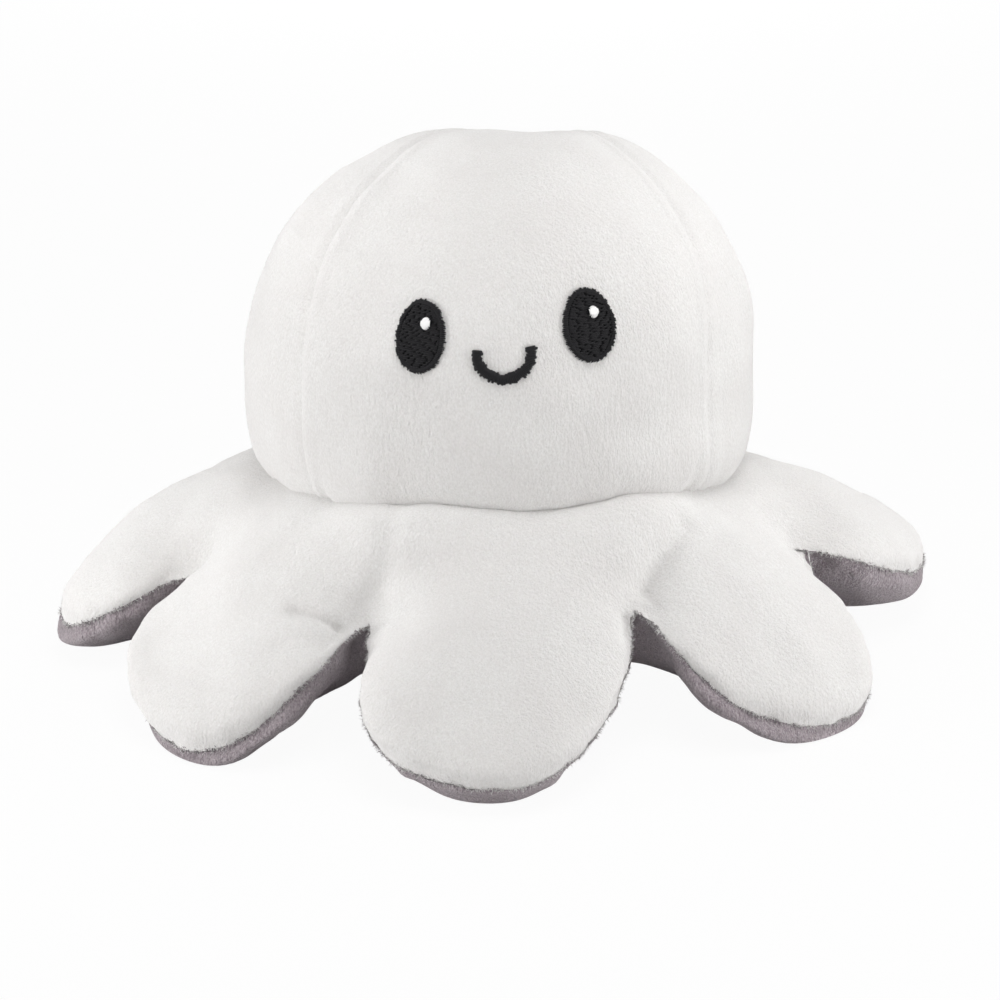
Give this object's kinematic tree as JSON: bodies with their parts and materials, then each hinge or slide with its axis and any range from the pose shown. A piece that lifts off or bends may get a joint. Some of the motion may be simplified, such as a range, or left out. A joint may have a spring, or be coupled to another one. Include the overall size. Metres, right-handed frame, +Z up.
{
  "type": "plush octopus",
  "caption": "Stuffed reversible toy octopus with a round white head, a stitched smiling face, a skirt of lobed arms that fold up, a grey underside and a pocket beneath.",
  "frame": {"origin": "bottom centre of the box round the toy as it stands, on the surface it rests on", "axes": "+Z up through the crown; the face looks along -Y; +X is to the right of a viewer who looks at the face"},
  "size_m": [0.1996, 0.2078, 0.1143],
  "materials": {
    "white_plush": "short pile velboa, matt with a soft sheen",
    "grey_plush": "short pile velboa, matt with a soft sheen",
    "black_thread": "satin embroidery thread",
    "white_thread": "satin embroidery thread",
    "filling": "loose polyester fibre"
  },
  "bodies": {
    "body": {"head_panel_front": "white_plush", "head_panel_right": "white_plush", "head_panel_back": "white_plush", "head_panel_left": "white_plush", "pocket_panel_front": "grey_plush", "pocket_panel_right": "grey_plush", "pocket_panel_back": "grey_plush", "pocket_panel_left": "grey_plush", "skirt_top": "white_plush", "skirt_underside": "grey_plush", "body_filling": "filling", "eye_left": "black_thread", "eye_glint_left": "white_thread", "eye_right": "black_thread", "eye_glint_right": "white_thread", "mouth": "black_thread"},
    "arm_front": {"arm_front_top": "white_plush", "arm_front_underside": "grey_plush", "arm_front_filling": "filling"},
    "arm_front_right": {"arm_front_right_top": "white_plush", "arm_front_right_underside": "grey_plush", "arm_front_right_filling": "filling"},
    "arm_right": {"arm_right_top": "white_plush", "arm_right_underside": "grey_plush", "arm_right_filling": "filling"},
    "arm_back_right": {"arm_back_right_top": "white_plush", "arm_back_right_underside": "grey_plush", "arm_back_right_filling": "filling"},
    "arm_back": {"arm_back_top": "white_plush", "arm_back_underside": "grey_plush", "arm_back_filling": "filling"},
    "arm_back_left": {"arm_back_left_top": "white_plush", "arm_back_left_underside": "grey_plush", "arm_back_left_filling": "filling"},
    "arm_left": {"arm_left_top": "white_plush", "arm_left_underside": "grey_plush", "arm_left_filling": "filling"},
    "arm_front_left": {"arm_front_left_top": "white_plush", "arm_front_left_underside": "grey_plush", "arm_front_left_filling": "filling"}
  },
  "joints": [
    {"name": "arm_front_fold", "type": "hinge", "parent": "body", "child": "arm_front", "pos_m": [0.00228, -0.06213, 0.03948], "axis": [-1, 0, 0], "range_deg": [-10, 75], "stiffness_Nm_per_rad": 0.25},
    {"name": "arm_front_right_fold", "type": "hinge", "parent": "body", "child": "arm_front_right", "pos_m": [0.04756, -0.04338, 0.03817], "axis": [-0.7071, -0.7071, 0], "range_deg": [-10, 75], "stiffness_Nm_per_rad": 0.25},
    {"name": "arm_right_fold", "type": "hinge", "parent": "body", "child": "arm_right", "pos_m": [0.06631, 0.0019, 0.035], "axis": [0, -1, 0], "range_deg": [-10, 75], "stiffness_Nm_per_rad": 0.25},
    {"name": "arm_back_right_fold", "type": "hinge", "parent": "body", "child": "arm_back_right", "pos_m": [0.04756, 0.04718, 0.03183], "axis": [0.7071, -0.7071, 0], "range_deg": [-10, 75], "stiffness_Nm_per_rad": 0.25},
    {"name": "arm_back_fold", "type": "hinge", "parent": "body", "child": "arm_back", "pos_m": [0.00228, 0.06593, 0.03052], "axis": [1, 0, 0], "range_deg": [-10, 75], "stiffness_Nm_per_rad": 0.25},
    {"name": "arm_back_left_fold", "type": "hinge", "parent": "body", "child": "arm_back_left", "pos_m": [-0.043, 0.04718, 0.03183], "axis": [0.7071, 0.7071, 0], "range_deg": [-10, 75], "stiffness_Nm_per_rad": 0.25},
    {"name": "arm_left_fold", "type": "hinge", "parent": "body", "child": "arm_left", "pos_m": [-0.06175, 0.0019, 0.035], "axis": [0, 1, 0], "range_deg": [-10, 75], "stiffness_Nm_per_rad": 0.25},
    {"name": "arm_front_left_fold", "type": "hinge", "parent": "body", "child": "arm_front_left", "pos_m": [-0.043, -0.04338, 0.03817], "axis": [-0.7071, 0.7071, 0], "range_deg": [-10, 75], "stiffness_Nm_per_rad": 0.25}
  ]
}
